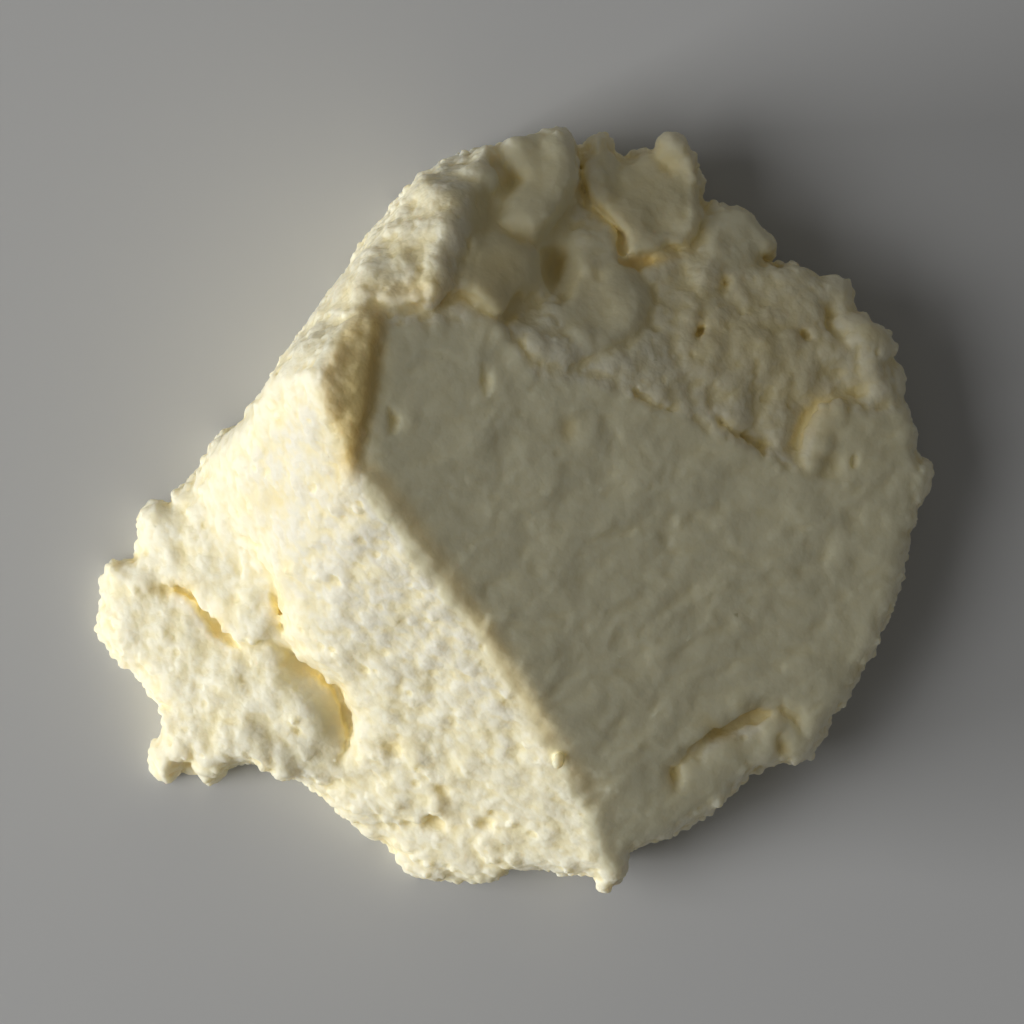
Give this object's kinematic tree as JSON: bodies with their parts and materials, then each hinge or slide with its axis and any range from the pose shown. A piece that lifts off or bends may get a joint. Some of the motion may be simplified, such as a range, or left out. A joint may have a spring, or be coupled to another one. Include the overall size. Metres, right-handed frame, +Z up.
{
  "type": "ricotta",
  "caption": "Torn lump of fresh ricotta curd, knife-cut smooth on one slope and granular on the others, that rests on its flat foot.",
  "frame": {"origin": "middle of the lump's bounding box on the surface that it rests on", "axes": "+Z up; +X along the lump's longest side, the way the smooth knife-cut slope falls; +Y towards the lumpy torn end"},
  "size_m": [0.0846, 0.077, 0.0361],
  "materials": {
    "fresh_curd": "moist, soft satin sheen, fine granular curd, light passes a little way in"
  },
  "bodies": {
    "root": {"ricotta": "fresh_curd"}
  },
  "joints": []
}
